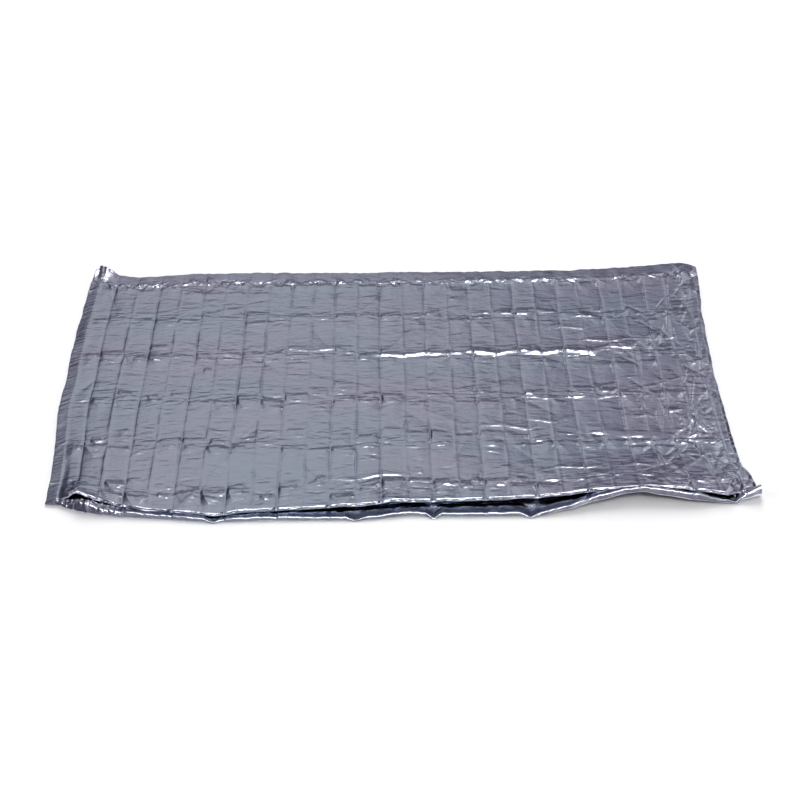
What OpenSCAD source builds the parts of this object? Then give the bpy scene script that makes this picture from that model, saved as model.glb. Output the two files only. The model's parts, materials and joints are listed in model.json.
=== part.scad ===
// Emergency foil sleeping bag, unfolded and laid flat: two sheets of metallised film
// welded along both long ends and the foot, open at the mouth.
// +X runs along the long side, +Y from the mouth to the foot, +Z up.
// The origin is on the underside, at the middle of the bag.

/* [Bag] */
// Length of the bag along the mouth
bag_l = 2000; // [1800:10:2200]
// Width of the bag from the mouth to the foot
bag_w = 1000; // [960:10:1060]
// Height of the top film over the flat rows
row_h = 14; // [12:1:18]
// Height of the top film at the mouth
mouth_h = 30; // [26:1:36]

/* [Film] */
// Thickness of one film, far above the real film so that it is a solid
film_t = 1; // [0.6:0.1:1.2]
// Width of the welded band at each end
side_seal_w = 30; // [20:1:40]
// Width of the welded band at the foot
foot_seal_w = 50; // [30:1:60]
// Distance over which the top film rises from a weld to its full height
edge_run = 110; // [90:5:130]

/* [Folds] */
// Distance between two fold creases across the bag
row_pitch = 176; // [165:1:185]
// Air gap between the solids of two neighbouring rows
fold_gap = 0.5; // [0.4:0.1:0.8]

/* [Mouth] */
// How far in front of the last fold crease the flap bends
flap_root = 26; // [20:1:40]
// How far the edge of the top film lies behind the edge of the bottom film
lip_setback = 18; // [12:1:30]
// Height of the turned-down strip on the top film
upper_lip_h = 9; // [6:1:11]
// Width of the turned-up strip on the bottom film
lower_lip_w = 12; // [9:1:16]
// Thickness of both strips
lip_t = 3; // [2:0.5:4]

/* [Hidden] */

film_colour = [0.62, 0.64, 0.70];
seal_colour = [0.50, 0.52, 0.58];
lip_colour = [0.86, 0.87, 0.90];

seal_t = 2 * film_t;
half_l = bag_l / 2;
seal_x = half_l - side_seal_w;
foot_y = bag_w / 2;
foot_line_y = foot_y - foot_seal_w;
mouth_y = -bag_w / 2;
upper_edge_y = mouth_y + lip_setback;

// The top film climbs at one slope from every weld
edge_slope = (row_h - seal_t) / edge_run;
flat_x = seal_x - edge_run;
flat_y = foot_line_y - edge_run;
flap_x = seal_x - (mouth_h - seal_t) / edge_slope;

// Fold creases, counted from the foot
function crease_y(n) = foot_line_y - n * row_pitch;
function row_back(n) = n == 1 ? foot_line_y : crease_y(n - 1) - fold_gap / 2;
function row_front(n) = crease_y(n) + fold_gap / 2;
mouth_row_back = crease_y(4) - fold_gap / 2;
flap_y = crease_y(4) - flap_root;

// A block between two x values and two y values, tall enough to cut any film
module slice(x0, x1, y0, y1) {
    translate([x0, y0, -2 * mouth_h])
        cube([x1 - x0, y1 - y0, 4 * mouth_h]);
}

// Everything under the top film, lowered by a given amount
module under_film(lowered) {
    base = -2 * mouth_h;
    translate([0, 0, -lowered])
        intersection() {
            translate([0, foot_y, 0])
                rotate([90, 0, 0])
                    linear_extrude(bag_w)
                        polygon([
                            [-seal_x, base], [seal_x, base], [seal_x, seal_t],
                            [flap_x, mouth_h], [-flap_x, mouth_h], [-seal_x, seal_t]
                        ]);
            translate([-half_l, 0, 0])
                rotate([90, 0, 90])
                    linear_extrude(bag_l)
                        polygon([
                            [upper_edge_y, base], [foot_line_y, base], [foot_line_y, seal_t],
                            [flat_y, row_h], [crease_y(4), row_h], [upper_edge_y, mouth_h]
                        ]);
        }
}

// The top film between two x values and two y values
module top_film(x0, x1, y0, y1) {
    intersection() {
        difference() {
            under_film(0);
            under_film(film_t);
        }
        slice(x0, x1, y0, y1);
    }
}

// The bottom film between two y values, flat on the ground
module bottom_film(y0, y1) {
    color(film_colour)
        translate([-seal_x, y0, 0])
            cube([2 * seal_x, y1 - y0, film_t]);
}

// Both films welded into one band along the left end
module weld_band(y0, y1) {
    translate([-half_l, y0, 0])
        cube([side_seal_w, y1 - y0, seal_t]);
}

// Left weld of a row, with the film that climbs from it to the flat
module left_seal(y0, y1) {
    color(seal_colour)
        union() {
            weld_band(y0, y1);
            top_film(-seal_x, -flat_x, y0, y1);
        }
}

module right_seal(y0, y1) {
    mirror([1, 0, 0])
        left_seal(y0, y1);
}

// Weld across the foot, over the whole length
module foot_seal() {
    color(seal_colour)
        translate([-half_l, foot_line_y, 0])
            cube([bag_l, foot_seal_w, seal_t]);
}

module row_top_film(n) {
    color(film_colour)
        top_film(-flat_x, flat_x, row_front(n), row_back(n));
}

module row_bottom_film(n) {
    bottom_film(row_front(n), row_back(n));
}

module row_left_seal(n) {
    left_seal(row_front(n), row_back(n));
}

module row_right_seal(n) {
    right_seal(row_front(n), row_back(n));
}

// Strip of top film between the last fold crease and the flap
module mouth_row_top_film() {
    color(film_colour)
        top_film(-flap_x, flap_x, flap_y, mouth_row_back);
}

module mouth_row_bottom_film() {
    bottom_film(mouth_y + lower_lip_w, mouth_row_back);
}

module mouth_row_left_seal() {
    color(seal_colour)
        weld_band(mouth_y, mouth_row_back);
}

module mouth_row_right_seal() {
    mirror([1, 0, 0])
        mouth_row_left_seal();
}

// Top film beside the flap, which joins the flap to the left weld
module mouth_row_left_gusset() {
    color(film_colour)
        top_film(-seal_x, -flap_x, upper_edge_y, mouth_row_back);
}

module mouth_row_right_gusset() {
    mirror([1, 0, 0])
        mouth_row_left_gusset();
}

module lower_lip() {
    color(lip_colour)
        translate([-seal_x, mouth_y, 0])
            cube([2 * seal_x, lower_lip_w, lip_t]);
}

// Top film of the mouth row, which lifts to open the bag
module mouth_flap_top_film() {
    reach = flap_x - fold_gap;
    color(film_colour)
        top_film(-reach, reach, upper_edge_y, flap_y - fold_gap);
}

module upper_lip() {
    reach = flap_x - fold_gap;
    color(lip_colour)
        translate([-reach, upper_edge_y - lip_t, mouth_h - upper_lip_h])
            cube([2 * reach, lip_t, upper_lip_h]);
}

foot_seal();
row_top_film(1);  // foot_row_top_film
row_bottom_film(1);  // foot_row_bottom_film
row_left_seal(1);  // foot_row_left_seal
row_right_seal(1);  // foot_row_right_seal
row_top_film(2);  // row_2_top_film
row_bottom_film(2);  // row_2_bottom_film
row_left_seal(2);  // row_2_left_seal
row_right_seal(2);  // row_2_right_seal
row_top_film(3);  // row_3_top_film
row_bottom_film(3);  // row_3_bottom_film
row_left_seal(3);  // row_3_left_seal
row_right_seal(3);  // row_3_right_seal
row_top_film(4);  // row_4_top_film
row_bottom_film(4);  // row_4_bottom_film
row_left_seal(4);  // row_4_left_seal
row_right_seal(4);  // row_4_right_seal
mouth_row_top_film();
mouth_row_bottom_film();
mouth_row_left_seal();
mouth_row_right_seal();
mouth_row_left_gusset();
mouth_row_right_gusset();
lower_lip();
mouth_flap_top_film();
upper_lip();
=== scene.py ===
import json
import math

import bmesh
import bpy
import numpy as np
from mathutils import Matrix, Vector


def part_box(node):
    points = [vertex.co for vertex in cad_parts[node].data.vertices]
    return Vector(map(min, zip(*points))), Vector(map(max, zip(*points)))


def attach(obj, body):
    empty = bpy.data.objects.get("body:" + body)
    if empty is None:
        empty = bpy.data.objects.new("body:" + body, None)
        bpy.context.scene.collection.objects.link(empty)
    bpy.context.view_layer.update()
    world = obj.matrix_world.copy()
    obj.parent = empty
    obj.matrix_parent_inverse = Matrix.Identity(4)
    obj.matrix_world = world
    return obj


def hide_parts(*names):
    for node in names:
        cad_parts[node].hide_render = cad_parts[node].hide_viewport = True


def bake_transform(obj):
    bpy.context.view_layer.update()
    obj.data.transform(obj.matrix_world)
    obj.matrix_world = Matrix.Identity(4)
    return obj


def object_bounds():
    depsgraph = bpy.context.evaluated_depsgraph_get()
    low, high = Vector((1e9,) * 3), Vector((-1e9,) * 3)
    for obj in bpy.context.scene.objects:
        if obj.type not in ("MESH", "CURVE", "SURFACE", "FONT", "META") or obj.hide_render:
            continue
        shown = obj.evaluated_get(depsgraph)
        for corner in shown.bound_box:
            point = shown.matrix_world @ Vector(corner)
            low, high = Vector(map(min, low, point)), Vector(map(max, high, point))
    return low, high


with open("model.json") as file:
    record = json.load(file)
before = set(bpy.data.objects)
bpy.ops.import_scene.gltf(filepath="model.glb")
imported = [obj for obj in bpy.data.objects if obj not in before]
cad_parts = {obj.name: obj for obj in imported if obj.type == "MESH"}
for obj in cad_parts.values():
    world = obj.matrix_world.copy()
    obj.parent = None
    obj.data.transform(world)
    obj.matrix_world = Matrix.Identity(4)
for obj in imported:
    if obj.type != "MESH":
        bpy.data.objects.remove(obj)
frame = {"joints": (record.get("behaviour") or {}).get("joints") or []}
cad_low, cad_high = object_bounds()
MM = 0.001

# Edges of the bag and its folds, from the frame
LEFT, RIGHT = cad_low.x, cad_high.x
MOUTH, FOOT = cad_low.y, cad_high.y
SEAL_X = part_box("lower_lip")[1].x
FOOT_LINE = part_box("foot_seal")[0].y
FLAP_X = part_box("mouth_row_top_film")[1].x
UPPER_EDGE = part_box("mouth_flap_top_film")[0].y
LOWER_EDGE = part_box("lower_lip")[1].y
ROW_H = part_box("row_2_top_film")[1].z
HINGES = {j["name"]: j for j in frame["joints"]}
FOLDS = [HINGES[f"fold_{n}"]["pos_m"][1] for n in (1, 2, 3, 4)]
FLAP_Y = HINGES["mouth_open"]["pos_m"][1]
FLAP_Z = HINGES["mouth_open"]["pos_m"][2]
ROW_PITCH = FOLDS[0] - FOLDS[1]
ROW_LINES = FOLDS + [FOLDS[-1] - ROW_PITCH]
ROWS = ["foot_row", "row_2", "row_3", "row_4", "mouth_row"]

# Package folds: columns across the long side
COLUMN_PITCH = 72.2 * MM
FIRST_COLUMN = -0.915
COLUMNS = [FIRST_COLUMN + n * COLUMN_PITCH for n in range(27)]
FOLD_STRIP = 12 * MM
TOP_STEP = 2.7 * MM
BOTTOM_STEP = 6 * MM

# Upper lip: place along the bag, crest across it, height of the crest, size of the strip
UPPER_LIP = [
    (-0.97, -0.448, 5, 4), (-0.94, -0.446, 15, 4), (-0.905, -0.440, 32, 6), (-0.87, -0.449, 24, 7),
    (-0.845, -0.456, 20, 7), (-0.77, -0.477, 14, 7), (-0.69, -0.490, 13, 7), (-0.57, -0.502, 14, 7),
    (-0.51, -0.511, 13, 6), (-0.42, -0.498, 15, 7), (-0.28, -0.493, 15, 7), (-0.14, -0.487, 17, 7),
    (0.0, -0.473, 19, 7), (0.14, -0.474, 19, 7), (0.28, -0.471, 20, 7), (0.42, -0.466, 24, 7),
    (0.56, -0.452, 31, 8), (0.70, -0.447, 35, 6), (0.80, -0.454, 31, 7), (0.86, -0.459, 27, 8),
    (0.91, -0.466, 21, 8), (0.945, -0.455, 15, 6), (0.97, -0.444, 11, 4),
]
# Lower lip: place along the bag, rim across it, height of the rim, size of the strip
LOWER_LIP = [
    (-0.97, -0.466, 2, 5), (-0.93, -0.480, 1, 10), (-0.90, -0.492, 1, 20), (-0.87, -0.499, 1, 24),
    (-0.83, -0.504, 1, 18), (-0.77, -0.511, 1, 11), (-0.66, -0.519, 1, 8), (-0.54, -0.530, 1, 7),
    (-0.51, -0.536, 1, 2), (-0.48, -0.531, 1, 6), (-0.33, -0.529, 1, 8), (-0.15, -0.531, 1, 7),
    (-0.12, -0.535, 1, 2), (-0.09, -0.531, 1, 6), (0.03, -0.519, 1, 9), (0.07, -0.521, 1, 7),
    (0.095, -0.531, 1, 2), (0.12, -0.523, 1, 7), (0.20, -0.525, 1, 8), (0.33, -0.525, 1, 8),
    (0.364, -0.532, 1, 2), (0.39, -0.525, 2, 6), (0.46, -0.510, 7, 9), (0.56, -0.484, 16, 10),
    (0.64, -0.467, 24, 9), (0.68, -0.464, 25, 9), (0.73, -0.473, 20, 13), (0.82, -0.486, 12, 13),
    (0.90, -0.490, 4, 6), (0.928, -0.492, 2, 3), (0.955, -0.480, 3, 14), (1.0, -0.470, 3, 24),
]
# Section of the upper lip over a strip of size 1: forwards and down from its crest
UPPER_SECTION = [
    (0, 0), (0.18, 0.04), (0.36, 0.18), (0.62, 0.50), (0.84, 0.80), (0.94, 1.0), (0.86, 1.08),
]
UPPER_LIP_ROWS = 11
# Section of the lower lip over a strip of size 1: back and up from its rim, over its turn, and
# down the slope behind the turn to the bottom film
LOWER_SECTION = [
    (0.04, 0), (0, 0.06), (0.35, 0.48), (0.74, 0.90), (0.92, 1.0), (1.08, 0.98), (1.3, 0.93),
    (2.5, 0.68), (3.7, 0.40), (4.9, 0.10), (5.3, 0),
]
LOWER_LIP_ROWS = 27
LIP_TURN, LIP_BACK = 1.08, 5.3
LIP_SLOPE = 9 * MM
LIP_CUT_STEP = 1.5 * MM
# Section of the lower lip over the right weld, where it is rolled into a tube
ROLLED_FROM, ROLLED_OVER = 0.935, 0.02
ROLLED_SECTION = [
    (0.10, 0), (0, 0.12), (0.06, 0.36), (0.22, 0.66), (0.46, 0.90), (0.72, 1.0), (0.98, 0.94),
    (1.18, 0.76), (1.30, 0.5), (1.32, 0.2), (1.28, 0),
]
# Pleats that face the mouth: from, to, place across the bag, rise over its length in mm, width of
# the steep side in mm
PLEATS = [
    (-0.09, 0.18, 0.096, 8, 9), (0.17, 0.68, 0.103, 4, 13), (-0.36, -0.14, 0.124, 0, 5),
    (0.24, 0.41, -0.198, -18, 6), (0.555, 0.775, -0.230, -26, 11), (0.34, 0.70, -0.092, 0, 4),
    (0.58, 0.90, 0.150, 10, 5), (0.40, 0.58, -0.380, 0, 6), (0.63, 0.73, -0.380, 0, 6),
    (-0.25, 0.07, -0.400, 16, 5), (0.53, 0.66, 0.262, 0, 6), (0.62, 0.76, 0.122, 0, 5),
    (0.80, 0.86, -0.166, 20, 7), (0.835, 0.89, -0.205, 22, 9), (0.875, 0.935, -0.178, -62, 16),
    (0.92, 0.955, -0.195, -34, 10), (0.84, 0.88, -0.225, 8, 6), (0.81, 0.90, -0.262, -14, 6),
    (0.80, 0.84, -0.336, 14, 6), (0.84, 0.90, -0.322, -18, 6), (0.36, 0.52, -0.185, 0, 4),
    (0.52, 0.60, -0.225, 0, 5), (0.93, 0.985, -0.290, 0, 5), (0.70, 0.78, -0.170, -8, 5),
    (0.49, 0.62, 0.210, 0, 4),
]

# Outline of the bag as it lies: along the bag and across it, or across it and along it
FOOT_EDGE = [
    (-1.0, 0.508), (-0.985, 0.512), (-0.955, 0.500), (-0.92, 0.482), (-0.85, 0.474),
    (-0.75, 0.482), (-0.65, 0.490), (0.0, 0.485), (0.56, 0.487), (0.70, 0.494),
    (0.83, 0.506), (0.95, 0.520), (1.0, 0.505),
]
LEFT_EDGE = [
    (-0.5, -0.980), (-0.40, -0.983), (-0.30, -0.990), (-0.1, -1.010), (0.2, -1.014),
    (0.40, -1.012), (0.46, -1.006), (0.5, -0.996),
]
RIGHT_EDGE = [
    (-0.5, 1.010), (-0.43, 1.002), (-0.36, 0.982), (-0.25, 0.978), (-0.1, 0.976), (0.09, 0.981),
    (0.24, 0.990), (0.42, 1.012), (0.5, 1.020),
]

# Light and camera
SOFT_BOX = 3.8
SOFT_BOX_AXIS = (0.05, -0.15, 0.98)
FLOOR_TONE = 0.70
CAMERA_PLACE = (-0.026, -2.338, 2.478)
CAMERA_DOWN, CAMERA_TURN = math.radians(47.74), math.radians(-0.91)

rng = np.random.default_rng(7)


def eased(x, points, column):
    """A table's column read at x, with no corners between its points."""
    at = np.array([p[0] for p in points])
    value = np.array([p[column] for p in points], float)
    i = np.clip(np.searchsorted(at, x) - 1, 0, len(at) - 2)
    t = np.clip((x - at[i]) / (at[i + 1] - at[i]), 0, 1)
    t = t * t * (3 - 2 * t) * 0.5 + t * 0.5
    return value[i] + (value[i + 1] - value[i]) * t


def ruled(stops, step):
    """Values from the first stop to the last through every stop, about a step apart."""
    stops = sorted(stops)
    parts = [stops[:1]]
    for a, b in zip(stops, stops[1:]):
        n = max(1, round((b - a) / step))
        parts.append(np.linspace(a, b, n + 1)[1:])
    return np.concatenate(parts)


def soft_noise(x, y, cell_x, cell_y, seed):
    """Smooth noise from -1 to 1 with cells of that size."""
    draws = np.random.default_rng(seed).uniform(-1, 1, (64, 64))
    u, v = x / cell_x + 100.37, y / cell_y + 100.71
    i, j = np.floor(u).astype(int), np.floor(v).astype(int)
    s, t = u - i, v - j
    s, t = s * s * (3 - 2 * s), t * t * (3 - 2 * t)
    a, b = draws[i % 64, j % 64], draws[(i + 1) % 64, j % 64]
    c, d = draws[i % 64, (j + 1) % 64], draws[(i + 1) % 64, (j + 1) % 64]
    return (a * (1 - s) + b * s) * (1 - t) + (c * (1 - s) + d * s) * t


class Sheet:
    """A film sheet as a ruled grid: flat places xs and ys, height z, crease wear and painted crease
    shade.
    """

    def __init__(self, xs, ys):
        self.xs, self.ys = xs, ys
        self.x, self.y = np.meshgrid(xs, ys)
        self.z = np.zeros(self.x.shape)
        self.wear = np.zeros(self.x.shape)

    def window(self, x0, x1, y0, y1):
        i = slice(*np.searchsorted(self.ys, (y0, y1)))
        j = slice(*np.searchsorted(self.xs, (x0, x1)))
        return i, j

    def crease(self, start, end, height, width, taper=0.2):
        """Presses one crease: a sharp ridge, or a furrow if height is below 0."""
        (x0, y0), (x1, y1) = start, end
        reach = 4.5 * width
        i, j = self.window(
            min(x0, x1) - reach, max(x0, x1) + reach, min(y0, y1) - reach, max(y0, y1) + reach
        )
        x, y = self.x[i, j], self.y[i, j]
        if x.size == 0:
            return
        dx, dy = x1 - x0, y1 - y0
        length = math.hypot(dx, dy)
        along = ((x - x0) * dx + (y - y0) * dy) / length**2
        across = ((y - y0) * dx - (x - x0) * dy) / length
        fade = np.clip(np.minimum(along, 1 - along) / taper + 0.5, 0, 1)
        shape = fade * np.exp(-np.abs(across) / width)
        self.z[i, j] += height * shape
        # Crease mark: partly wear, partly painted shade that darkens the colour along the crease
        worn_and_shaded = fade * np.exp(-((across / (1.6 * MM)) ** 2)) * min(1, abs(height) / (1.5 * MM))
        self.wear[i, j] = np.maximum(self.wear[i, j], worn_and_shaded)

    def slash(self, x, y, length, angle, height, width, taper):
        """Presses one crease of that length and angle about a point."""
        along, up = 0.5 * length * math.cos(angle), 0.5 * length * math.sin(angle)
        self.crease((x - along, y - up), (x + along, y + up), height, width, taper)

    def pleat(self, start, end, widths, slope, back):
        """A crest with a steep side of that slope towards the mouth and a gentle one behind."""
        (x0, y0), (x1, y1) = start, end
        i, j = self.window(x0, x1, min(y0, y1) - max(widths), max(y0, y1) + 4 * back)
        x, y = self.x[i, j], self.y[i, j]
        if x.size == 0:
            return
        t = (x - x0) / (x1 - x0)
        d = y - (y0 + (y1 - y0) * t)
        front = widths[0] + (widths[1] - widths[0]) * t
        side = np.clip(np.minimum(x - x0, x1 - x) / (3 * MM), 0.35, 1)
        self.z[i, j] += slope * front * side * np.where(
            d > 0, np.exp(-d / back), np.clip(1 + d / front, 0, 1)
        )

    def dip(self, start, end, widths, slope, front):
        """A crest with a gentle side towards the mouth and a side of that slope behind it."""
        (x0, y0), (x1, y1) = start, end
        i, j = self.window(x0, x1, min(y0, y1) - 4 * front, max(y0, y1) + max(widths))
        x, y = self.x[i, j], self.y[i, j]
        if x.size == 0:
            return
        t = (x - x0) / (x1 - x0)
        d = y - (y0 + (y1 - y0) * t)
        back = widths[0] + (widths[1] - widths[0]) * t
        side = np.clip(np.minimum(x - x0, x1 - x) / (9 * MM + 0.8 * np.clip(-d, 0, None)), 0, 1)
        self.z[i, j] += slope * back * side * np.where(
            d > 0, np.clip(1 - d / back, 0, 1), np.exp(d / front)
        )


def column_edges():
    return [LEFT, *COLUMNS, RIGHT]


def press_columns(sheet, sign):
    """The package's column folds: nearly straight lines, ridge and furrow in turn."""
    limits = [MOUTH, *ROW_LINES[::-1], FOOT]
    row_stops = [y for a, b in zip(limits, limits[1:]) for y in (a + 6 * MM, b - 6 * MM)]
    for n, place in enumerate(COLUMNS):
        i, j = sheet.window(place - 0.035, place + 0.035, MOUTH - 1, FOOT + 1)
        x, y = sheet.x[i, j], sheet.y[i, j]
        turn = sign * (1 if n % 2 else -1)
        depth = 1.3 + 0.9 * soft_noise(y, 0 * y + n, 0.10, 1, 11)
        depth += 0.7 * soft_noise(y, 0 * y + n, 0.03, 1, 12)
        line = place + 2.2 * MM * soft_noise(y, 0 * y + n, 0.06, 1, 13)
        reach = np.abs(x - line)
        sheet.z[i, j] += turn * MM * depth * np.exp(-reach / (3.6 * MM))
        swing = rng.uniform(-0.35, 0.55, len(row_stops) // 2).repeat(2)
        lean = np.clip(1 - reach / (34 * MM), 0, 1)
        sheet.z[i, j] += turn * MM * np.interp(y, row_stops, swing) * lean
        # Wear along the column folds, which also paints shade along them
        sheet.wear[i, j] = np.maximum(
            sheet.wear[i, j], np.clip(depth / 2, 0, 1) * np.exp(-((reach / (1.6 * MM)) ** 2))
        )


def press_rows(sheet, sign):
    """The package's row folds, made through the folded columns, so they step between them."""
    edges = column_edges()
    for r, line in enumerate(ROW_LINES):
        for n, (a, b) in enumerate(zip(edges, edges[1:])):
            turn = sign * (1 if (n + r) % 2 else -1)
            step = turn * 5 * MM + rng.normal(0, 3 * MM)
            start = (a + rng.uniform(0, 6) * MM, line + step + rng.normal(0, 2 * MM))
            end = (b - rng.uniform(0, 6) * MM, line + step + rng.normal(0, 2 * MM))
            lift = turn * rng.uniform(0.3, 1.1 if b < 0 else 1.7) * MM
            sheet.crease(start, end, lift, rng.uniform(2.2, 3.6) * MM, 0.15)
            for _ in range(rng.integers(3, 8)):
                half = rng.uniform(0.12, 0.5) * (b - a)
                x = rng.uniform(a + half, b - half)
                y = line + step + rng.normal(0, 15 * MM)
                tilt = rng.normal(0, 0.16) * half
                lift = rng.choice([-1, 1]) * rng.uniform(0.3, 0.7 if b < 0 else 1.0) * MM
                sheet.crease(
                    (x - half, y - tilt), (x + half, y + tilt),
                    lift, rng.uniform(1.8, 3.2) * MM, 0.3,
                )


def press_dips(sheet):
    """Flat facets beside the row folds that lean away from the mouth, in runs and alone."""
    edges = column_edges()
    for line in ROW_LINES + [FOOT_LINE - 22 * MM]:
        n = 0
        while n < len(edges) - 1:
            run = min(rng.integers(1, 5), len(edges) - 1 - n)
            if rng.random() < 0.75:
                start = min(line + rng.normal(-4 * MM, 15 * MM), FOOT_LINE - 24 * MM)
                crest = start + np.cumsum(rng.normal(0, 5 * MM, run + 1))
                widths = rng.uniform(1, 30, run + 1) * MM
                for k in range(run):
                    lean = math.tan(math.radians(rng.uniform(6, 9.5) - 9 * start))
                    sheet.dip(
                        (edges[n + k], crest[k]), (edges[n + k + 1], crest[k + 1]),
                        (widths[k], widths[k + 1]), lean, 12 * MM + 1.5 * max(widths[k:k + 2]),
                    )
            n += run
        for a, b in zip(edges, edges[1:]):
            half = rng.uniform(0.2, 0.5) * (b - a)
            x = rng.uniform(a + half, b - half)
            y = min(line + rng.normal(0, 26 * MM), FOOT_LINE - 24 * MM)
            lean = math.tan(math.radians(rng.uniform(6, 10) - 9 * y))
            widths = rng.uniform(1, 20, 2) * MM
            sheet.dip(
                (x - half, y), (x + half, y + rng.normal(0, 7 * MM)),
                widths, lean, 12 * MM + 1.5 * max(widths),
            )


def press_glints(sheet):
    """Short pleats on the row folds, most of them on the right half, where the film is looser."""
    edges = column_edges()
    for line in ROW_LINES:
        for a, b in zip(edges, edges[1:]):
            if rng.random() > (0.5 if a > 0.05 else 0.13):
                continue
            half = rng.uniform(0.12, 0.4) * (b - a)
            x = rng.uniform(a + half, b - half)
            y = line + rng.normal(0, 11 * MM)
            widths = rng.uniform(1.5, 6 if a > 0.05 else 3.5, 2) * MM
            slope = math.tan(math.radians(rng.uniform(22, 30)))
            end = (x + half, y + rng.normal(0, 4 * MM))
            sheet.pleat((x - half, y), end, widths, slope, 12 * MM)


def press_knots(sheet):
    """Small peaks where row folds cross column folds."""
    for line in ROW_LINES:
        for place in COLUMNS:
            for _ in range(rng.integers(0, 2 if place < 0 else 3)):
                x, y = place + rng.normal(0, 3 * MM), line + rng.normal(0, 7 * MM)
                i, j = sheet.window(x - 0.012, x + 0.012, y - 0.012, y + 0.012)
                away = np.hypot(sheet.x[i, j] - x, sheet.y[i, j] - y)
                sheet.z[i, j] += rng.uniform(1.2, 2.4) * MM * np.exp(-away / (2.6 * MM))


def press_wrinkles(sheet):
    """Fine wrinkles along the bag between two column folds, closest near the row folds."""
    edges = column_edges()
    for _ in range(6000):
        n = rng.integers(len(edges) - 1)
        a, b = edges[n], edges[n + 1]
        near = rng.random() < (0.70 if a < 0.1 else 0.45)
        if near:
            y = ROW_LINES[rng.integers(5)] + rng.normal(0, 24 * MM)
        else:
            y = rng.uniform(MOUTH, FOOT_LINE)
        half = rng.uniform(0.12, 0.5) * (b - a)
        x = rng.uniform(a + half, b - half)
        tilt = rng.normal(0, 0.14) * half
        sheet.crease(
            (x - half, y - tilt), (x + half, y + tilt),
            rng.choice([-1, 1]) * rng.uniform(0.15, 0.75) * (1.05 - 0.4 * y) * MM,
            rng.uniform(1.5, 3.0) * MM, 0.4,
        )


def press_crumple(sheet):
    """Broad slanting facets where the film was crumpled: at the right end, and elsewhere."""
    for _ in range(90):
        x = rng.uniform(0.72, 0.99)
        y = rng.uniform(MOUTH, 0.30)
        length = rng.uniform(40, 150) * MM
        angle = rng.uniform(0.35, 2.6)
        sheet.slash(
            x, y, length, angle,
            rng.choice([-1, 1]) * rng.uniform(0.8, 2.4) * MM, rng.uniform(4, 11) * MM, 0.3,
        )
    for n in range(150):
        x = rng.uniform(0.0, 0.95) if n % 3 else rng.uniform(LEFT + 0.05, 0.0)
        y = rng.uniform(MOUTH + 0.03, FOOT_LINE - 0.02)
        length = rng.uniform(40, 110) * MM
        angle = rng.choice([-1, 1]) * rng.uniform(0.2, 1.2)
        sheet.slash(
            x, y, length, angle,
            rng.choice([-1, 1]) * rng.uniform(0.5, 1.5) * MM, rng.uniform(7, 16) * MM, 0.4,
        )


def press_foot_puckers(sheet):
    """The gathered film along the weld at the foot."""
    for _ in range(420):
        x = rng.uniform(LEFT, RIGHT)
        y = FOOT_LINE - 2 * MM + rng.normal(0, 6 * MM)
        length = rng.uniform(14, 46) * MM
        angle = rng.normal(0, 0.55)
        sheet.slash(
            x, y, length, angle,
            rng.choice([-1, 1]) * rng.uniform(0.5, 2.3) * MM, rng.uniform(2.0, 4.5) * MM, 0.3,
        )
    for _ in range(120):
        x = rng.uniform(LEFT, RIGHT)
        length = rng.uniform(20, 60) * MM
        sheet.crease(
            (x, FOOT_LINE - 4 * MM), (x + rng.normal(0, 8 * MM), FOOT_LINE - length),
            rng.choice([-1, 1]) * rng.uniform(0.3, 0.9) * MM, rng.uniform(2.5, 5) * MM, 0.4,
        )


def press_pleats(sheet):
    """The pleats, which zigzag from column to column."""
    edges = column_edges()
    for x0, x1, y, rise, wide in PLEATS:
        inside = [x0, *[e for e in edges if x0 + 0.01 < e < x1 - 0.01], x1]
        crest = [
            y + rise * MM * (at - x0) / (x1 - x0)
            + (6 * MM if n % 2 else -6 * MM) + rng.normal(0, 2 * MM)
            for n, at in enumerate(inside)
        ]
        width = [min(15.0, wide * rng.uniform(0.65, 1.25)) * MM for _ in inside]
        width[0] = width[-1] = 2 * MM
        for n in range(len(inside) - 1):
            slope = math.tan(math.radians(rng.uniform(23, 29)))
            sheet.pleat(
                (inside[n], crest[n]), (inside[n + 1], crest[n + 1]),
                (width[n], width[n + 1]), slope, 15 * MM,
            )


def press_hatching(sheet):
    """The slanting ripples of the left weld, and the crumpled right weld."""
    y = MOUTH
    while y < FOOT:
        sheet.crease(
            (-SEAL_X + 4 * MM, y), (LEFT - 2 * MM, y - rng.normal(16, 5) * MM),
            rng.uniform(0.6, 1.5) * MM, rng.uniform(1.8, 2.8) * MM, 0.3,
        )
        y += rng.uniform(6, 12) * MM
    for _ in range(120):
        x = rng.uniform(0.925, 1.0)
        y = rng.uniform(MOUTH, FOOT)
        length = rng.uniform(30, 90) * MM
        angle = rng.uniform(0, math.pi)
        sheet.slash(
            x, y, length, angle,
            rng.choice([-1, 1]) * rng.uniform(0.5, 1.9) * MM, rng.uniform(3, 7) * MM, 0.3,
        )


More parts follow.
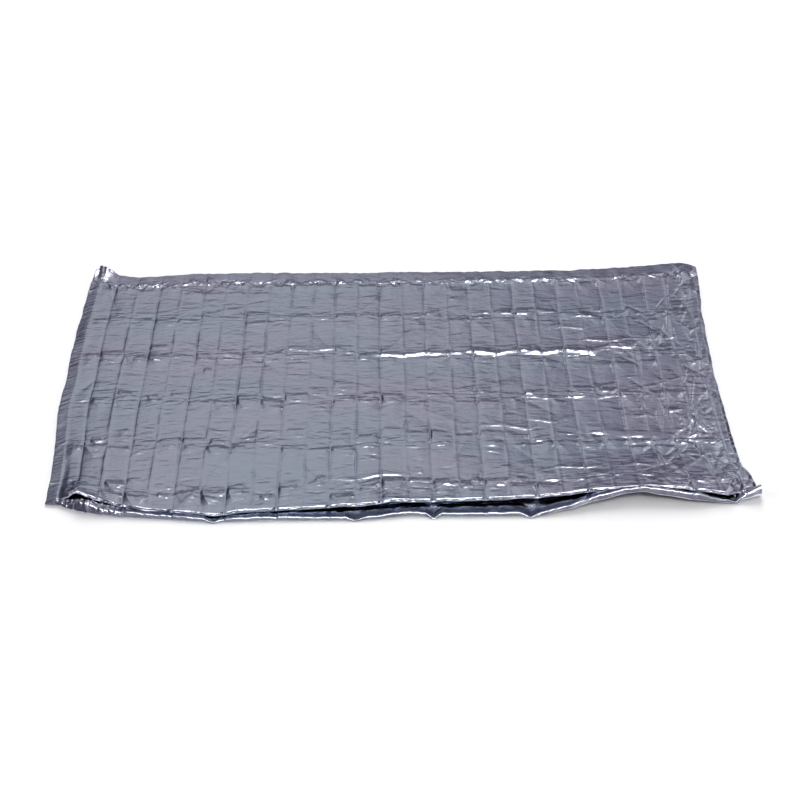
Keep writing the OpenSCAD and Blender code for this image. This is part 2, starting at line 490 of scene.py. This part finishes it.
def base_height(x, y):
    """The loose lie of the top film, from the welds over the rows to the mouth."""
    from_side = np.clip(SEAL_X - np.abs(x), 0, None)
    from_foot = np.clip(FOOT_LINE - y, 0, None)
    body = (1 - np.exp(-from_side / (12 * MM))) * (1 - np.exp(-from_foot / (16 * MM)))
    wide = 1 - np.exp(-from_side / (80 * MM))
    loose = 5.6 + 0.8 * soft_noise(x, y, 0.24, 0.13, 3) + 0.35 * soft_noise(x, y, 0.09, 0.07, 4)
    loose = loose + 6.4 * wide * np.clip((0.05 - y) / (0.05 - FLAP_Y), 0, 1)
    ramp = np.clip((FLAP_Y - y) / (FLAP_Y - UPPER_EDGE), 0, 1)
    crest = eased(x, UPPER_LIP, 2)
    calm = np.minimum(crest, 14 + 20 * np.clip((x - 0.1) / 0.6, 0, 1))
    height = loose + (calm - loose) * ramp**1.2 + (crest - calm) * ramp**5
    curl = np.clip((np.abs(x) - SEAL_X) / (RIGHT - SEAL_X), 0, 1)
    tuck = np.clip((y - FOOT_LINE) / (FOOT - FOOT_LINE), 0, 1)
    weld = 5.5 - np.where(x > 0, 1.0, 2.5) * curl + 1.2 * soft_noise(x, y, 0.03, 0.06, 5)
    weld = weld + 1.5 * tuck * (1 - curl)
    weld = weld + np.where(x > 0, 3.0, 1.2) * (1 - tuck)
    weld = weld - 3.5 * np.clip((x - RIGHT + 0.012) / 0.012, 0, 1)
    corner = np.clip((-x - 0.925) / 0.04, 0, 1) * np.clip((y - 0.455) / 0.045, 0, 1)
    weld = weld + corner * (23 + 1.3 * np.sin(330 * x + 60 * y))
    return MM * (weld + (height - weld) * body)


def top_sheet():
    """The whole top film with its welds."""
    stops_x = [LEFT, -SEAL_X, -FLAP_X, *COLUMNS, FLAP_X, SEAL_X, RIGHT]
    stops_y = [FOOT, FOOT_LINE, FLAP_Y, UPPER_EDGE, MOUTH]
    stops_y += [fold + side for fold in FOLDS for side in (-FOLD_STRIP, FOLD_STRIP)]
    sheet = Sheet(ruled(stops_x, TOP_STEP), ruled(stops_y, TOP_STEP))
    press_columns(sheet, 1)
    press_rows(sheet, 1)
    press_wrinkles(sheet)
    press_crumple(sheet)
    press_dips(sheet)
    press_glints(sheet)
    press_pleats(sheet)
    press_knots(sheet)
    sheet.z += 0.20 * MM * soft_noise(sheet.x, sheet.y, 0.024, 0.017, 14)
    sheet.z += 0.09 * MM * soft_noise(sheet.x, sheet.y, 0.011, 0.007, 15)
    calm = np.clip((SEAL_X - np.abs(sheet.x)) / (25 * MM), 0.15, 1)
    calm = calm * np.clip((FOOT_LINE - sheet.y) / (15 * MM), 0.2, 1)
    sheet.z *= calm
    press_foot_puckers(sheet)
    press_hatching(sheet)
    sheet.z += base_height(sheet.x, sheet.y)
    return sheet


def settle(sheet):
    """Keeps the film over the ground, under the row height, and low at the flap's line."""
    low, high = 0.4 * MM, ROW_H - 0.3 * MM
    ceiling = np.where(sheet.y > FOLDS[-1] - FOLD_STRIP, high, cad_high.z + 6 * MM)
    ceiling = np.where((sheet.x < -0.9) & (sheet.y > FOOT_LINE), cad_high.z, ceiling)
    flap_line = FLAP_Z + 0.5 * np.abs(sheet.y - FLAP_Y)
    by_flap = np.abs(sheet.x) < FLAP_X + 20 * MM
    ceiling = np.where(by_flap, np.minimum(ceiling, flap_line), ceiling)
    sheet.z = np.maximum(sheet.z, low + 0.15 * MM * (1 + np.sin(700 * sheet.x)))
    over = np.clip(sheet.z - (ceiling - 2 * MM), 0, None)
    sheet.z -= over - 2 * MM * np.tanh(over / (2 * MM))


def laid_x(x, y):
    """Place along the bag as it lies, drawn in or out towards both ends."""
    side = np.clip((np.abs(x) - 0.6) / 0.4, 0, 1) ** 1.5
    wave = 2.2 * soft_noise(y, 0 * y, 0.05, 1, 31) + 1.2 * soft_noise(y, 0 * y, 0.014, 1, 32)
    pull = np.where(x < 0, -eased(y, LEFT_EDGE, 1), eased(y, RIGHT_EDGE, 1)) - 1
    wander = 1.1 * MM * soft_noise(x, y, 0.05, 0.09, 41) * (1 - side)
    return x + np.sign(x) * side * (pull + wave * MM * (np.abs(x) > 0.9)) + wander


def lie(sheet, crest, edge, reach_back):
    """Where every point of a sheet lies: its outline is bowed and its edges follow the lips."""
    x, y = sheet.x, sheet.y
    share = np.clip((reach_back - y) / (reach_back - edge), 0, 1) ** 1.2
    foot_share = np.clip((y - 0.1) / (FOOT - 0.1), 0, 1) ** 2
    jag = 2.4 * MM * soft_noise(x, 0 * x, 0.014, 1, 21)
    jag = jag + 2.2 * MM * soft_noise(x, 0 * x, 0.05, 1, 22)
    jag = jag * np.clip((y - FOOT_LINE) / (FOOT - FOOT_LINE), 0, 1)
    px = laid_x(x, y)
    py = y + share * (eased(x, crest, 1) - edge)
    py = py + foot_share * (eased(x, FOOT_EDGE, 1) - FOOT + jag)
    return np.stack([px, py, sheet.z], axis=-1)


def film_piece(name, sheet, places, x0, x1, y0, y1):
    """One piece of a sheet: a grid over that part of its rules, laid where it lies."""
    j = np.where((sheet.xs >= x0 - 1e-6) & (sheet.xs <= x1 + 1e-6))[0]
    i = np.where((sheet.ys >= y0 - 1e-6) & (sheet.ys <= y1 + 1e-6))[0]
    part = np.ix_(i, j)
    return grid_piece(name, places[part], sheet.x[part], sheet.y[part], sheet.wear[part])


def grid_piece(name, places, cut_x, cut_y, wear, shade=None):
    """A grid with its points laid at places, which keeps its flat cut, its crease wear and painted
    crease shade, and its painted mouth shade.
    """
    rows, columns = places.shape[:2]
    bm = bmesh.new()
    bmesh.ops.create_grid(bm, x_segments=columns - 1, y_segments=rows - 1, size=0.5)
    mesh = bpy.data.meshes.new(name)
    bm.to_mesh(mesh)
    bm.free()
    at = np.zeros(len(mesh.vertices) * 3, np.float32)
    mesh.vertices.foreach_get("co", at)
    at = at.reshape(-1, 3) + 0.5
    j = np.rint(at[:, 0] * (columns - 1)).astype(int)
    i = np.rint(at[:, 1] * (rows - 1)).astype(int)
    mesh.vertices.foreach_set("co", places[i, j].astype(np.float32).ravel())
    cut = mesh.attributes.new("cut", "FLOAT_VECTOR", "POINT")
    flat = np.stack([cut_x[i, j], cut_y[i, j], 0 * cut_x[i, j]], axis=-1)
    cut.data.foreach_set("vector", flat.astype(np.float32).ravel())
    worn_and_shaded = mesh.attributes.new("wear", "FLOAT", "POINT")
    worn_and_shaded.data.foreach_set("value", wear[i, j].astype(np.float32))
    if shade is not None:
        shaded = mesh.attributes.new("shade", "FLOAT", "POINT")
        shaded.data.foreach_set("value", shade[i, j].astype(np.float32))
    mesh.polygons.foreach_set("use_smooth", [True] * len(mesh.polygons))
    piece = bpy.data.objects.new(name, mesh)
    bpy.context.scene.collection.objects.link(piece)
    mesh.update()
    return piece


def finish_piece(piece, material, nodes=()):
    piece.data.materials.append(material)
    if nodes:
        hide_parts(*nodes)


def make_film_group():
    """Fine crinkle of the film: a normal, a patchy mask and two faint tints."""
    group = bpy.data.node_groups.new("film_crinkle", "ShaderNodeTree")
    strength = group.interface.new_socket(
        "Strength", in_out="INPUT", socket_type="NodeSocketFloat"
    )
    strength.default_value = 0.5
    for name, kind in (("Normal", "NodeSocketVector"), ("Patch", "NodeSocketFloat"),
                       ("Tint", "NodeSocketFloat")):
        group.interface.new_socket(name, in_out="OUTPUT", socket_type=kind)
    add, link = group.nodes.new, group.links.new
    inner = add("NodeGroupInput")
    out = add("NodeGroupOutput")
    cut = add("ShaderNodeAttribute")
    cut.attribute_name = "cut"
    stretch = add("ShaderNodeMapping")
    stretch.inputs["Scale"].default_value = (0.30, 1.0, 1.0)
    link(cut.outputs["Vector"], stretch.inputs["Vector"])
    wrinkle = add("ShaderNodeTexNoise")
    wrinkle.inputs["Scale"].default_value = 170
    wrinkle.inputs["Detail"].default_value = 4
    wrinkle.inputs["Roughness"].default_value = 0.62
    link(stretch.outputs["Vector"], wrinkle.inputs["Vector"])
    facet = add("ShaderNodeTexVoronoi")
    facet.inputs["Scale"].default_value = 62
    facet.inputs["Randomness"].default_value = 1.0
    link(stretch.outputs["Vector"], facet.inputs["Vector"])
    both = add("ShaderNodeMath")
    both.operation = "MULTIPLY_ADD"
    both.inputs[1].default_value = 0.55
    link(facet.outputs["Distance"], both.inputs[0])
    link(wrinkle.outputs["Fac"], both.inputs[2])
    bump = add("ShaderNodeBump")
    bump.inputs["Distance"].default_value = 0.0018
    link(inner.outputs["Strength"], bump.inputs["Strength"])
    link(both.outputs["Value"], bump.inputs["Height"])
    link(bump.outputs["Normal"], out.inputs["Normal"])
    patch = add("ShaderNodeTexNoise")
    patch.inputs["Scale"].default_value = 9
    patch.inputs["Detail"].default_value = 3
    link(cut.outputs["Vector"], patch.inputs["Vector"])
    link(patch.outputs["Fac"], out.inputs["Patch"])
    tint = add("ShaderNodeTexNoise")
    tint.inputs["Scale"].default_value = 5.5
    tint.inputs["Detail"].default_value = 1.5
    link(stretch.outputs["Vector"], tint.inputs["Vector"])
    link(tint.outputs["Fac"], out.inputs["Tint"])
    return group


def make_film_material(name, tone, crinkle, roughness):
    """Metallised film: bluish silver, tinted in patches, duller on creases with painted crease
    shade, painted shade in the mouth.
    """
    material = bpy.data.materials.new(name)
    material.use_nodes = True
    tree = material.node_tree
    add, link = tree.nodes.new, tree.links.new
    shader = tree.nodes["Principled BSDF"]
    shader.inputs["Metallic"].default_value = 1.0
    group = add("ShaderNodeGroup")
    group.node_tree = FILM_GROUP
    group.inputs["Strength"].default_value = crinkle
    link(group.outputs["Normal"], shader.inputs["Normal"])
    tints = add("ShaderNodeValToRGB")
    tints.color_ramp.elements[0].position = 0.38
    tints.color_ramp.elements[0].color = (*[c * f for c, f in zip(tone, (0.96, 1.0, 0.995))], 1)
    tints.color_ramp.elements[1].position = 0.62
    tints.color_ramp.elements[1].color = (*[c * f for c, f in zip(tone, (1.03, 0.978, 1.0))], 1)
    link(group.outputs["Tint"], tints.inputs["Fac"])
    # Crease wear makes the film rougher, and its painted shade darkens the colour to 0.62 of its
    # tone
    worn_and_shaded = add("ShaderNodeAttribute")
    worn_and_shaded.attribute_name = "wear"
    painted_crease_shade = add("ShaderNodeMix")
    painted_crease_shade.data_type = "RGBA"
    painted_crease_shade.inputs["B"].default_value = (*[0.62 * c for c in tone], 1)
    amount = add("ShaderNodeMath")
    amount.operation = "MULTIPLY"
    amount.inputs[1].default_value = 0.45
    link(worn_and_shaded.outputs["Fac"], amount.inputs[0])
    link(amount.outputs["Value"], painted_crease_shade.inputs["Factor"])
    link(tints.outputs["Color"], painted_crease_shade.inputs["A"])
    # Painted shade: dark navy mixed into the colour where the film lies in the shade of the mouth
    inner = add("ShaderNodeAttribute")
    inner.attribute_name = "shade"
    painted_mouth_shade = add("ShaderNodeMix")
    painted_mouth_shade.data_type = "RGBA"
    painted_mouth_shade.inputs["B"].default_value = (0.16, 0.19, 0.27, 1)
    link(inner.outputs["Fac"], painted_mouth_shade.inputs["Factor"])
    link(painted_crease_shade.outputs["Result"], painted_mouth_shade.inputs["A"])
    link(painted_mouth_shade.outputs["Result"], shader.inputs["Base Color"])
    rough = add("ShaderNodeMapRange")
    rough.inputs["From Min"].default_value = 0.3
    rough.inputs["From Max"].default_value = 0.7
    rough.inputs["To Min"].default_value = roughness - 0.04
    rough.inputs["To Max"].default_value = roughness + 0.05
    link(group.outputs["Patch"], rough.inputs["Value"])
    matt = add("ShaderNodeMath")
    matt.operation = "MULTIPLY_ADD"
    matt.inputs[1].default_value = 0.16
    link(worn_and_shaded.outputs["Fac"], matt.inputs[0])
    link(rough.outputs["Result"], matt.inputs[2])
    link(matt.outputs["Value"], shader.inputs["Roughness"])
    return material


def build_top_film():
    sheet = top_sheet()
    settle(sheet)
    places = lie(sheet, UPPER_LIP, UPPER_EDGE, FLAP_Y)
    # Welded band at the foot
    foot = film_piece("foot_weld", sheet, places, LEFT, RIGHT, FOOT_LINE, FOOT)
    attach(foot, "foot_row")
    finish_piece(foot, SEAL, ["foot_seal"])
    # Rows
    backs = [FOOT_LINE] + [fold - FOLD_STRIP for fold in FOLDS]
    fronts = [fold + FOLD_STRIP for fold in FOLDS] + [FLAP_Y]
    for row, back, front in zip(ROWS, backs, fronts):
        top = film_piece(f"{row}_top_sheet", sheet, places, -SEAL_X, SEAL_X, front, back)
        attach(top, row)
        finish_piece(top, FILM, [f"{row}_top_film"])
        if row == "mouth_row":
            front = MOUTH
        for side, x0, x1 in (("left", LEFT, -SEAL_X), ("right", SEAL_X, RIGHT)):
            weld = film_piece(f"{row}_{side}_weld", sheet, places, x0, x1, front, back)
            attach(weld, row)
            finish_piece(weld, SEAL, [f"{row}_{side}_seal"])
    # Film over the fold creases
    for n, fold in enumerate(FOLDS):
        strip = film_piece(
            f"fold_{n + 1}_top_strip", sheet, places,
            LEFT, RIGHT, fold - FOLD_STRIP, fold + FOLD_STRIP,
        )
        finish_piece(strip, FILM)
        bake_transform(strip)
    # Flap and the gussets beside it
    flap = film_piece("mouth_flap_sheet", sheet, places, -FLAP_X, FLAP_X, UPPER_EDGE, FLAP_Y)
    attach(flap, "mouth_flap")
    finish_piece(flap, FILM, ["mouth_flap_top_film"])
    for side, x0, x1 in (("left", -SEAL_X, -FLAP_X), ("right", FLAP_X, SEAL_X)):
        name = f"mouth_{side}_gusset_sheet"
        gusset = film_piece(name, sheet, places, x0, x1, UPPER_EDGE, FLAP_Y)
        finish_piece(gusset, FILM, [f"mouth_row_{side}_gusset"])
        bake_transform(gusset)
    return sheet, places


def section(points, steps):
    """A lip's section at even steps from its first point to its last."""
    u, v = np.array(points, float).T
    run = np.concatenate([[0], np.cumsum(np.hypot(np.diff(u), np.diff(v)))])
    at = np.linspace(0, run[-1], steps)
    return np.interp(at, run, u), np.interp(at, run, v)


def crinkle_of(x, across, seed):
    """Sharp crinkles across a lip, with a pinch at every other column fold."""
    fine = soft_noise(x, 0 * x + across, 0.011, 0.5, seed)
    broad = soft_noise(x, 0 * x + across, 0.030, 0.7, seed + 1)
    pinch = sum(np.exp(-np.abs(x - place) / (5 * MM)) for place in COLUMNS[::2])
    return MM * (0.7 * fine + 0.9 * broad), MM * 5.0 * pinch


def build_upper_lip(sheet, places):
    """The turned-down edge of the top film."""
    crest = places[int(np.searchsorted(sheet.ys, UPPER_EDGE - 1e-6))]
    x = sheet.xs
    size = eased(x, UPPER_LIP, 3) * MM * (1 + 0.16 * soft_noise(x, 0 * x, 0.05, 1, 51))
    forward, down = section(UPPER_SECTION, UPPER_LIP_ROWS)
    knots = sum(np.exp(-(((x - place) / (6 * MM)) ** 2)) for place in COLUMNS[::2])
    rows, cut = [], []
    for n, (u, v) in enumerate(zip(forward, down)):
        fine, pinch = crinkle_of(x, 3.0 * v, 53)
        row = crest.copy()
        row[:, 1] -= size * u + (fine + pinch) * math.sin(math.pi * min(v, 1))
        row[:, 2] -= size * v - (0.6 * fine + pinch) * math.sin(math.pi * min(v, 1))
        row[:, 2] += 3 * MM * knots * math.cos(0.5 * math.pi * min(v, 1))
        rows.append(row)
        cut.append(0 * x + UPPER_EDGE - n * LIP_CUT_STEP)
    lip, cut_y = np.stack(rows[::-1]), np.stack(cut[::-1])
    cut_x = np.tile(x, (len(rows), 1))
    wear = np.zeros(cut_y.shape)
    # Crest and fold rows of the lip get crease wear and painted crease shade
    crest_row, fold_row = -1, 1
    wear[crest_row] = wear[fold_row] = 1
    parts = {"upper_lip_middle": (-FLAP_X, FLAP_X), "upper_lip_left": (-SEAL_X, -FLAP_X),
             "upper_lip_right": (FLAP_X, SEAL_X)}
    for name, (x0, x1) in parts.items():
        j = np.where((x >= x0 - 1e-6) & (x <= x1 + 1e-6))[0]
        piece = grid_piece(name, lip[:, j], cut_x[:, j], cut_y[:, j], wear[:, j])
        nodes = ["upper_lip"] if name == "upper_lip_middle" else []
        finish_piece(piece, LIP, nodes)
        if name == "upper_lip_middle":
            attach(piece, "mouth_flap")
        else:
            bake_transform(piece)


def build_lower_lip():
    """The turned-up edge of the bottom film, which runs on over the right weld."""
    x = ruled([-SEAL_X, *COLUMNS[1:-1], SEAL_X, RIGHT], TOP_STEP)
    size = eased(x, LOWER_LIP, 3) * MM
    size = size * (1 + 0.14 * soft_noise(x, 0 * x, 0.06, 1, 61))
    back, up = section(LOWER_SECTION, LOWER_LIP_ROWS)
    back_rolled, up_rolled = section(ROLLED_SECTION, LOWER_LIP_ROWS)
    rolled = np.clip((x - ROLLED_FROM) / ROLLED_OVER, 0, 1)
    crumple = np.clip((-x - 0.74) / 0.08, 0, 1)
    rows, cut, shade = [], [], []
    for n in range(LOWER_LIP_ROWS):
        u = back[n] + (back_rolled[n] - back[n]) * rolled
        v = up[n] + (up_rolled[n] - up[n]) * rolled
        fine, pinch = crinkle_of(x, 0.17 * n, 63)
        fine = fine * np.where(u > LIP_TURN, 1.3, 1)
        fine = fine + 8 * MM * crumple * (np.abs(soft_noise(x, 0 * x + u, 0.015, 0.16, 66)) - 0.3)
        row = np.zeros((len(x), 3))
        row[:, 0] = laid_x(x, 0 * x + MOUTH)
        inside = np.where(x < 0.93, LIP_SLOPE, size)
        row[:, 1] = eased(x, LOWER_LIP, 1) + size * np.minimum(u, LIP_TURN) + 0.5 * fine * v
        row[:, 1] += inside * np.clip(u - LIP_TURN, 0, None)
        row[:, 2] = eased(x, LOWER_LIP, 2) * MM + size * v + fine * v - 0.4 * pinch * v
        rows.append(row)
        cut.append(0 * x + MOUTH + n * LIP_CUT_STEP)
        # Painted shade on the lip's inner slope in the mouth; none on the rolled tube or the
        # crumpled left end
        painted_mouth_shade = np.interp(u, (1.1, 1.5, 3.0, LIP_BACK), (0, 1, 1, 0.4))
        shade.append(painted_mouth_shade * (1 - rolled) * (1 - crumple))
    wear = np.zeros((len(rows), len(x)))
    # Rim and turn rows of the lip get crease wear and painted crease shade
    rim_row, turn_row = 0, 7
    wear[rim_row] = wear[turn_row] = 1
    cut_x = np.tile(x, (len(rows), 1))
    places, cut_y = np.stack(rows), np.stack(cut)
    lip = grid_piece("lower_lip_sheet", places, cut_x, cut_y, wear, np.stack(shade))
    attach(lip, "mouth_row")
    finish_piece(lip, LIP, ["lower_lip"])


def build_bottom_film(top):
    """The bottom film, flat on the ground, which rises to the welds and the lower lip."""
    stops_y = [FOOT_LINE, LOWER_EDGE]
    stops_y += [fold + side for fold in FOLDS for side in (-FOLD_STRIP, FOLD_STRIP)]
    stops_x = [-SEAL_X, *COLUMNS[1:-1], SEAL_X]
    sheet = Sheet(ruled(stops_x, BOTTOM_STEP), ruled(stops_y, BOTTOM_STEP))
    press_columns(sheet, -1)
    press_rows(sheet, -1)
    for _ in range(700):
        start = (rng.uniform(-SEAL_X, SEAL_X), rng.uniform(LOWER_EDGE, LOWER_EDGE + 0.07))
        end = (start[0] + rng.normal(0, 30 * MM), start[1] + rng.normal(0, 14 * MM))
        sheet.crease(start, end, rng.uniform(0.5, 2.2) * MM, rng.uniform(4, 7) * MM, 0.3)
    sheet.z = np.abs(sheet.z) * 0.8 + 0.3 * MM
    x, y = sheet.x, sheet.y
    rim = eased(x, LOWER_LIP, 2) * MM
    near = np.clip((LOWER_EDGE + 0.03 - y) / 0.03, 0, 1)
    rise = np.clip((LOWER_EDGE + 0.20 - y) / 0.20, 0, 1) ** 2
    sheet.z = sheet.z * (1 - near) + (rim - 1 * MM) * rise
    sheet.z += 1 * MM * near
    side = np.clip((SEAL_X - np.abs(x)) / (30 * MM), 0, 1)
    left = np.interp(sheet.ys, top.ys, top.z[:, np.searchsorted(top.xs, -SEAL_X + 1e-9)])
    right = np.interp(sheet.ys, top.ys, top.z[:, np.searchsorted(top.xs, SEAL_X - 1e-9)])
    weld = np.where(x < 0, left[:, None], right[:, None])
    back = np.clip((FOOT_LINE - y) / (25 * MM), 0, 1)
    line = np.interp(sheet.xs, top.xs, top.z[np.searchsorted(top.ys, FOOT_LINE - 1e-9)])
    sheet.z = sheet.z * side + weld * (1 - side)
    sheet.z = sheet.z * back + line[None, :] * (1 - back)
    start = [
        (at, rim_y + LIP_TURN * size * MM + 0.9 * (LIP_BACK - LIP_TURN) * LIP_SLOPE, 0)
        for at, rim_y, _, size in LOWER_LIP
    ]
    places = lie(sheet, start, LOWER_EDGE, FLAP_Y)
    backs = [FOOT_LINE] + [fold - FOLD_STRIP for fold in FOLDS]
    fronts = [fold + FOLD_STRIP for fold in FOLDS] + [LOWER_EDGE]
    for row, back, front in zip(ROWS, backs, fronts):
        piece = film_piece(f"{row}_bottom_sheet", sheet, places, -SEAL_X, SEAL_X, front, back)
        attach(piece, row)
        finish_piece(piece, FILM, [f"{row}_bottom_film"])
    for n, fold in enumerate(FOLDS):
        strip = film_piece(
            f"fold_{n + 1}_bottom_strip", sheet, places,
            -SEAL_X, SEAL_X, fold - FOLD_STRIP, fold + FOLD_STRIP,
        )
        finish_piece(strip, FILM)
        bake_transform(strip)


def build_floor():
    bpy.ops.mesh.primitive_plane_add(size=60, location=(0, 0, -0.2 * MM))
    floor = bpy.context.object
    floor.name = "floor"
    material = bpy.data.materials.new("studio_floor")
    material.use_nodes = True
    shader = material.node_tree.nodes["Principled BSDF"]
    shader.inputs["Base Color"].default_value = (FLOOR_TONE, FLOOR_TONE, FLOOR_TONE, 1)
    shader.inputs["Roughness"].default_value = 0.9
    floor.data.materials.append(material)


def build_light():
    """A studio room: grey ceiling, darker far wall and sides, a soft box and a pale backdrop."""
    world = bpy.data.worlds.new("studio")
    bpy.context.scene.world = world
    world.use_nodes = True
    tree = world.node_tree
    add, link = tree.nodes.new, tree.links.new
    where = add("ShaderNodeTexCoord")
    split = add("ShaderNodeSeparateXYZ")
    link(where.outputs["Generated"], split.inputs["Vector"])
    height = split.outputs["Z"]
    far = ramp_node(tree, height, [
        (0.0, 0.30), (0.18, 0.28), (0.30, 0.08), (0.50, 0.16), (0.57, 0.24), (0.625, 0.39),
        (0.70, 0.385), (0.80, 0.37), (1.0, 0.45)])
    near = ramp_node(tree, height, [(0.0, 0.16), (0.4, 0.30), (0.8, 0.40), (1.0, 0.45)])
    facing = add("ShaderNodeMapRange")
    facing.inputs["From Min"].default_value = 0.1
    facing.inputs["From Max"].default_value = -0.1
    link(split.outputs["Y"], facing.inputs["Value"])
    wall = add("ShaderNodeMix")
    link(facing.outputs["Result"], wall.inputs["Factor"])
    link(far, wall.inputs["A"])
    link(near, wall.inputs["B"])
    along = add("ShaderNodeMapRange")
    along.inputs["From Min"].default_value = -1.0
    link(split.outputs["X"], along.inputs["Value"])
    sides = ramp_node(tree, along.outputs["Result"], [
        (0.0, 0.22), (0.24, 0.30), (0.32, 0.80), (0.37, 1.0), (0.50, 1.0), (0.64, 0.62),
        (0.69, 0.56), (0.74, 1.8), (0.79, 1.8), (0.85, 0.3)])
    room = add("ShaderNodeMath")
    room.operation = "MULTIPLY"
    link(wall.outputs["Result"], room.inputs[0])
    link(sides, room.inputs[1])
    axis = add("ShaderNodeVectorMath")
    axis.operation = "DOT_PRODUCT"
    axis.inputs[1].default_value = Vector(SOFT_BOX_AXIS).normalized()
    link(where.outputs["Generated"], axis.inputs[0])
    box = add("ShaderNodeMapRange")
    box.interpolation_type = "SMOOTHSTEP"
    box.inputs["From Min"].default_value = math.cos(math.radians(22))
    box.inputs["From Max"].default_value = math.cos(math.radians(18))
    link(axis.outputs["Value"], box.inputs["Value"])
    front = add("ShaderNodeMapRange")
    front.inputs["From Min"].default_value = 0.0
    front.inputs["From Max"].default_value = -0.12
    front.inputs["To Min"].default_value = 0.52
    front.inputs["To Max"].default_value = SOFT_BOX
    link(split.outputs["Y"], front.inputs["Value"])
    side_wall = add("ShaderNodeMath")
    side_wall.operation = "ABSOLUTE"
    link(split.outputs["X"], side_wall.inputs[0])
    side_light = ramp_node(tree, side_wall.outputs["Value"], [
        (0.0, 0.0), (0.86, 0.0), (0.95, 0.28), (1.0, 0.30)])
    walls = add("ShaderNodeMath")
    walls.operation = "ADD"
    link(room.outputs["Value"], walls.inputs[0])
    link(side_light, walls.inputs[1])
    total = add("ShaderNodeMath")
    total.operation = "MULTIPLY_ADD"
    link(box.outputs["Result"], total.inputs[0])
    link(front.outputs["Result"], total.inputs[1])
    link(walls.outputs["Value"], total.inputs[2])
    cool = ramp_node(tree, total.outputs["Value"], [
        (0.0, (0.92, 0.86, 1.28)), (0.36, (0.97, 0.985, 1.05)), (0.9, 1.0)])
    light = add("ShaderNodeVectorMath")
    light.operation = "MULTIPLY"
    link(total.outputs["Value"], light.inputs[0])
    link(cool, light.inputs[1])
    seen = add("ShaderNodeLightPath")
    backdrop = add("ShaderNodeMix")
    backdrop.data_type = "RGBA"
    backdrop.inputs["B"].default_value = (1.0, 1.0, 1.0, 1)
    link(seen.outputs["Is Camera Ray"], backdrop.inputs["Factor"])
    link(light.outputs["Vector"], backdrop.inputs["A"])
    link(backdrop.outputs["Result"], tree.nodes["Background"].inputs["Color"])


def build_floor_lamps():
    """Low, wide lamps behind the bag and at both ends, which only the floor shows."""
    for name, turn, lean, power in (
        ("back_lamp", 0, 62, 4.5), ("left_lamp", 80, 75, 1.6), ("right_lamp", -80, 75, 1.6),
    ):
        lamp = bpy.data.lights.new(name, "SUN")
        lamp.energy = power
        lamp.angle = math.radians(30)
        light = bpy.data.objects.new(name, lamp)
        light.rotation_euler = (math.radians(-lean), 0, math.radians(turn))
        light.visible_glossy = False
        bpy.context.scene.collection.objects.link(light)


def ramp_node(tree, value, stops):
    """A ramp over 0 to 1 with those stops, each a grey or a colour."""
    node = tree.nodes.new("ShaderNodeValToRGB")
    tree.links.new(value, node.inputs["Fac"])
    ramp = node.color_ramp.elements
    ramp[0].position, ramp[1].position = stops[0][0], stops[-1][0]
    for at, _ in stops[1:-1]:
        ramp.new(at)
    for stop, (_, tone) in zip(ramp, stops):
        stop.color = (*tone, 1) if isinstance(tone, tuple) else (tone, tone, tone, 1)
    return node.outputs["Color"]


def build_camera():
    lens = bpy.data.cameras.new("camera")
    lens.lens = 50
    lens.sensor_width = 36
    camera = bpy.data.objects.new("camera", lens)
    camera.location = CAMERA_PLACE
    camera.rotation_euler = (math.pi / 2 - CAMERA_DOWN, 0, CAMERA_TURN)
    bpy.context.scene.collection.objects.link(camera)
    bpy.context.scene.camera = camera


bpy.context.scene.view_settings.view_transform = "Standard"
FILM_GROUP = make_film_group()
FILM = make_film_material("silver_film", (0.80, 0.835, 0.945), 0.45, 0.11)
SEAL = make_film_material("welded_film", (0.72, 0.75, 0.86), 0.6, 0.14)
LIP = make_film_material("turned_film", (0.76, 0.79, 0.88), 0.5, 0.12)

top, top_places = build_top_film()
build_upper_lip(top, top_places)
build_bottom_film(top)
build_lower_lip()
build_floor()
build_light()
build_floor_lamps()
build_camera()
